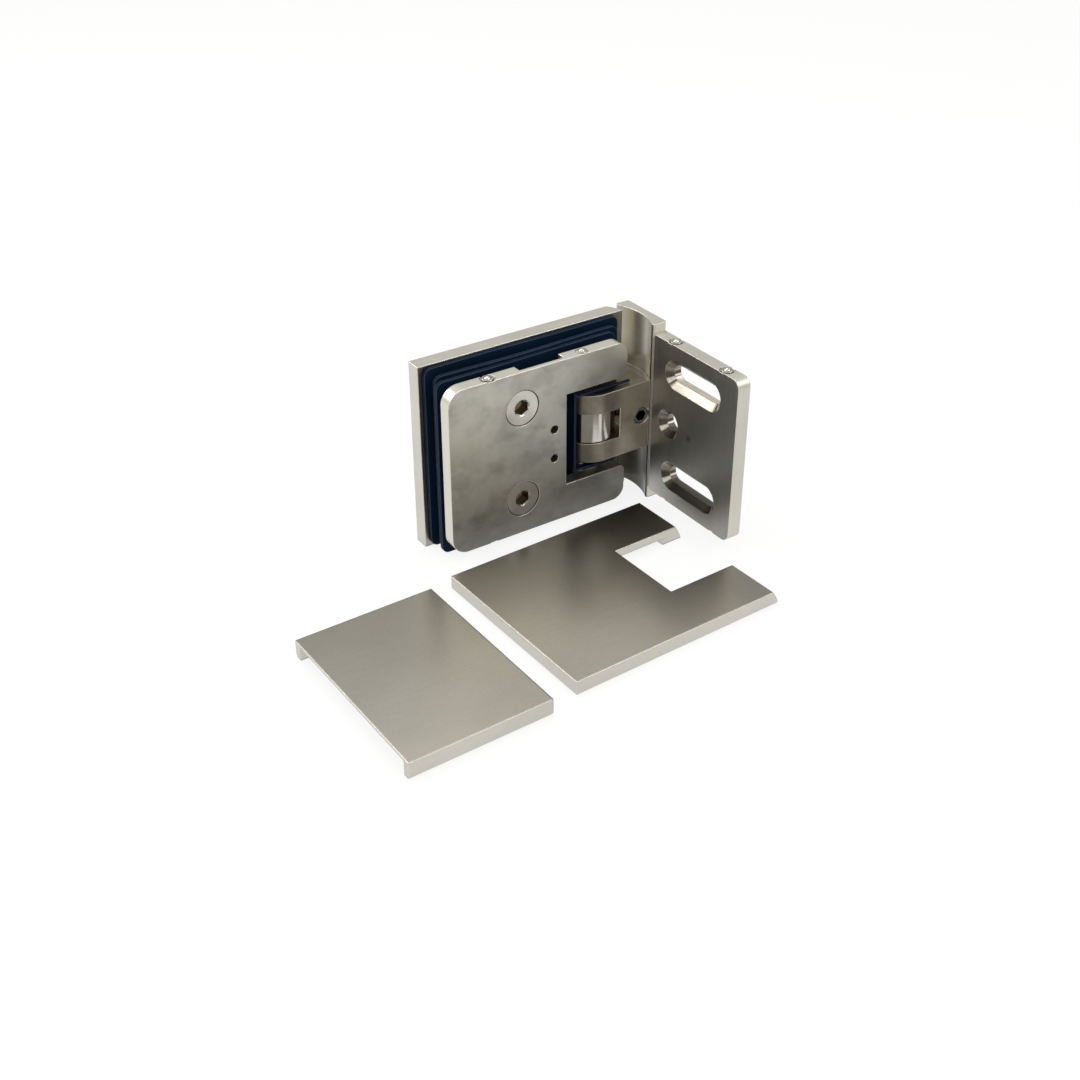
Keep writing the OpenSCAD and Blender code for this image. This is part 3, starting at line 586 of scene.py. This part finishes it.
def front_plate_metal(name):
    """Front plate: a mottled face with the smudges of handling and painted shade towards its bottom, edges in
    the lit copy with a painted highlight, and painted shade in gaps.
    """
    nodes = Finish(name, metallic=1.0)
    grit = nodes.noise(PLATE_GRIT_SCALE, detail=4.0, roughness=0.65)
    cloud = nodes.noise(PLATE_CLOUD_SCALE, detail=5.0, roughness=0.62)
    smudge = nodes.noise(PLATE_SMUDGE_SCALE, detail=3.0, roughness=0.6)
    flat = nodes.facing("y")
    height = nodes.math("SUBTRACT", nodes.along("z"), nodes.times(nodes.along("x"), PLATE_SLANT))
    painted_shade = nodes.dim(FACE, nodes.span(cloud, MIDDLE, PLATE_CLOUD_LEVELS),
                     nodes.span(smudge, PATCHES, PLATE_SMUDGE_LEVELS),
                     nodes.span(height, PLATE_HEIGHT_Z, PLATE_HEIGHT_SHADE))
    color = nodes.painted_edge_highlight(nodes.mix(flat, EDGE_PAINTED_LIGHT, painted_shade), PLATE_HIGHLIGHT_REACH)
    roughness = nodes.math("ADD", nodes.span(cloud, MIDDLE, PLATE_ROUGHNESS),
                           nodes.span(flat, ALL, (PLATE_EDGE_ROUGHNESS, 0.0)))
    nodes.surface(nodes.dim(color, nodes.painted_gap_shade(CREVICE, PLATE_DARK)), roughness)
    nodes.relief([(cloud, PLATE_CLOUD_DEPTH), (grit, PLATE_GRIT_DEPTH)], PLATE_ROUNDING)
    return nodes.material


def turned_metal(name, color, roughness, edge=TURNED_ROUNDING, center=None, socket_y=None, socket=SOCKET_SHADE):
    """Small metal parts, turned or ground.

    center is the axis that a screw's head was turned round, as its x and z. Past socket_y, a place
    along Y, the metal takes the socket's colour, a painted shade. Gaps and corners get painted shade too.
    """
    nodes = Finish(name, metallic=1.0)
    grit = nodes.noise(TURNED_GRIT_SCALE)
    cloud = nodes.noise(TURNED_CLOUD_SCALE)
    level = nodes.times(nodes.span(cloud, UPPER, TURNED_CLOUD_LEVELS),
                        nodes.painted_gap_shade(TURNED_CREVICE, TURNED_DARK))
    if center is not None:
        from_center = nodes.add("ShaderNodeVectorMath", operation="SUBTRACT")
        nodes.feed(from_center.inputs[0], nodes.place)
        nodes.feed(from_center.inputs[1], (center[0], 0.0, center[1]))
        rings = nodes.add("ShaderNodeTexWave", wave_type="RINGS", rings_direction="Y")
        nodes.feed(rings.inputs["Scale"], RING_SCALE)
        nodes.feed(rings.inputs["Distortion"], RING_DISTORTION)
        nodes.feed(rings.inputs["Vector"], from_center.outputs["Vector"])
        level = nodes.times(level, nodes.span(rings.outputs["Fac"], ALL, RING_LEVELS))
    color = nodes.dim(color, level)
    if socket_y is not None:
        deep = nodes.span(nodes.along("y"), (socket_y, socket_y + BORDER), (0.0, 1.0))
        color = nodes.mix(deep, color, socket)
    rough = tuple(roughness + change for change in TURNED_GRIT_ROUGHNESS)
    nodes.surface(color, nodes.span(grit, MIDDLE, rough))
    nodes.relief([(grit, TURNED_GRIT_DEPTH)], edge)
    return nodes.material


def black_plastic(name):
    """Matt black bearing plastic with a fine moulded grain."""
    nodes = Finish(name)
    nodes.shader.inputs["Specular IOR Level"].default_value = PLASTIC_GLOSS
    grit = nodes.noise(PLASTIC_GRIT_SCALE)
    color = nodes.dim(PLASTIC, nodes.span(grit, MIDDLE, PLASTIC_GRIT_LEVELS))
    nodes.surface(color, nodes.span(grit, MIDDLE, PLASTIC_ROUGHNESS))
    nodes.relief([(grit, PLASTIC_GRIT_DEPTH)], PLASTIC_ROUNDING)
    return nodes.material


def gasket_rubber(name):
    """Near black rubber with a blue tint, and a painted highlight on its edges."""
    nodes = Finish(name)
    nodes.shader.inputs["Specular IOR Level"].default_value = RUBBER_GLOSS
    nodes.shader.inputs["Specular Tint"].default_value = (*RUBBER_SHEEN, 1.0)
    grit = nodes.noise(RUBBER_GRIT_SCALE, detail=4.0)
    cloud = nodes.noise(RUBBER_CLOUD_SCALE)
    edge_highlight = nodes.times(nodes.edges(RUBBER_HIGHLIGHT_REACH), RUBBER_HIGHLIGHT_SHARE)
    color = nodes.mix(edge_highlight, nodes.dim(RUBBER, nodes.span(cloud, UPPER, RUBBER_CLOUD_LEVELS)), RUBBER_EDGE_HIGHLIGHT)
    nodes.surface(color, nodes.span(grit, MIDDLE, RUBBER_ROUGHNESS))
    nodes.relief([(cloud, RUBBER_CLOUD_DEPTH), (grit, RUBBER_GRIT_DEPTH)], RUBBER_ROUNDING)
    return nodes.material


def dress(names, material):
    for name in names:
        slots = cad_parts[name].data.materials
        slots.clear()
        slots.append(material)


def dress_clamp_screw(name, level):
    """A clamp screw, whose head was turned and whose socket is darkened with painted shade. Its level makes
    it
    a lit or a shaded copy of the other: painted light and shade.
    """
    low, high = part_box(name)
    center = ((low[0] + high[0]) / 2, (low[2] + high[2]) / 2)
    dress([name], turned_metal(name + "_steel", tinted(STEEL, level), SCREW_ROUGHNESS, center=center,
                               socket_y=low[1] + CLAMP_SOCKET_DEPTH))


def dress_all():
    dress(["wall_leaf"], wall_leaf_metal("wall_leaf_metal"))
    dress(["rear_plate"], rear_plate_metal("rear_plate_metal"))
    dress(["glass_cover", "wall_cover"], cover_metal("cover_metal"))
    dress(["front_plate"], front_plate_metal("front_plate_metal"))
    dress(["cam_sleeve", "pivot_pin", "cam_plunger"], turned_metal("turned_steel", STEEL, PIVOT_ROUGHNESS))
    dress_clamp_screw("upper_clamp_screw", UPPER_SCREW_LIGHT)
    dress_clamp_screw("lower_clamp_screw", LOWER_SCREW_SHADE)
    lock_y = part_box("lock_screw")[0][1]
    dress(["lock_screw"], turned_metal("lock_steel", tinted(STEEL, LOCK_SCREW_LEVEL), SCREW_ROUGHNESS,
                                       socket_y=lock_y + LOCK_SOCKET_DEPTH, socket=SOCKET_DEEP_SHADE))
    dress(["spring_screw", "cam_dowel", "lug_dowels", "cam_spring", "wall_plunger_springs",
           "plate_plunger_springs"], turned_metal("dark_steel", STEEL_DARK, INNER_ROUGHNESS))
    dress(["wall_plunger_sleeves", "plate_plunger_sleeves"],
          turned_metal("sleeve_steel", tinted(STEEL, SLEEVE_LEVEL), SLEEVE_ROUGHNESS, edge=SLEEVE_ROUNDING))
    dress([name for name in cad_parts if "_ball_" in name],
          turned_metal("ball_steel", STEEL, BALL_ROUGHNESS, edge=None))
    dress(["upper_bush", "lower_bush"], black_plastic("bush_plastic"))
    dress(["gasket_front", "gasket_middle", "gasket_rear", "notch_liner"], gasket_rubber("gasket_rubber"))


def make_floor():
    """A plain white floor that keeps the hinge's soft shadow."""
    half = FLOOR_SIZE / 2
    mesh = bpy.data.meshes.new("floor")
    mesh.from_pydata([(-half, -half, FLOOR_Z), (half, -half, FLOOR_Z), (half, half, FLOOR_Z),
                      (-half, half, FLOOR_Z)], [], [(0, 1, 2, 3)])
    floor = bpy.data.objects.new("floor", mesh)
    bpy.context.collection.objects.link(floor)
    nodes = Finish("floor_white")
    nodes.surface(FLOOR_COLOR, FLOOR_ROUGHNESS)
    path = nodes.add("ShaderNodeLightPath").outputs
    seen = nodes.math("MAXIMUM", path["Is Camera Ray"], path["Is Glossy Ray"])
    white = nodes.glow("ShaderNodeEmission", WHITE, 1.0)
    shown = nodes.mix_shaders(nodes.times(seen, FLOOR_WHITE), nodes.shader.outputs["BSDF"], white)
    nodes.feed(nodes.output.inputs["Surface"], shown)
    floor.data.materials.append(nodes.material)


def make_world():
    """White to the camera, and a soft room to everything else: pale above, dim towards the horizon."""
    world = bpy.data.worlds.new("studio")
    bpy.context.scene.world = world
    nodes = Nodes(world, "ShaderNodeOutputWorld")
    height = nodes.part_of(nodes.coordinates["Generated"], "z")
    room = nodes.glow("ShaderNodeBackground", ROOM_COLOR, nodes.span(height, ROOM_HEIGHT, ROOM_STRENGTH))
    white = nodes.glow("ShaderNodeBackground", WHITE, 1.0)
    path = nodes.add("ShaderNodeLightPath").outputs
    nodes.feed(nodes.output.inputs["Surface"], nodes.mix_shaders(path["Is Camera Ray"], room, white))


def make_lights():
    for name, (place, size, power, color) in LIGHTS.items():
        data = bpy.data.lights.new(name, "AREA")
        data.shape = "RECTANGLE"
        data.size, data.size_y = size
        data.energy = power
        data.color = color
        lamp = bpy.data.objects.new(name, data)
        lamp.location = place
        lamp.rotation_euler = (Vector(LIGHT_TARGET) - Vector(place)).to_track_quat("-Z", "Y").to_euler()
        bpy.context.collection.objects.link(lamp)


def make_camera():
    data = bpy.data.cameras.new("camera")
    data.sensor_width = CAMERA_SENSOR
    data.lens = CAMERA_LENS
    data.shift_x, data.shift_y = CAMERA_SHIFT
    data.clip_start = CAMERA_NEAR
    camera = bpy.data.objects.new("camera", data)
    camera.location = CAMERA_PLACE
    camera.rotation_euler = (math.radians(90.0 - CAMERA_PITCH), 0.0, math.radians(-CAMERA_YAW))
    bpy.context.collection.objects.link(camera)
    bpy.context.scene.camera = camera


bpy.context.scene.view_settings.view_transform = "Standard"
dress_all()
make_floor()
make_world()
make_lights()
make_camera()
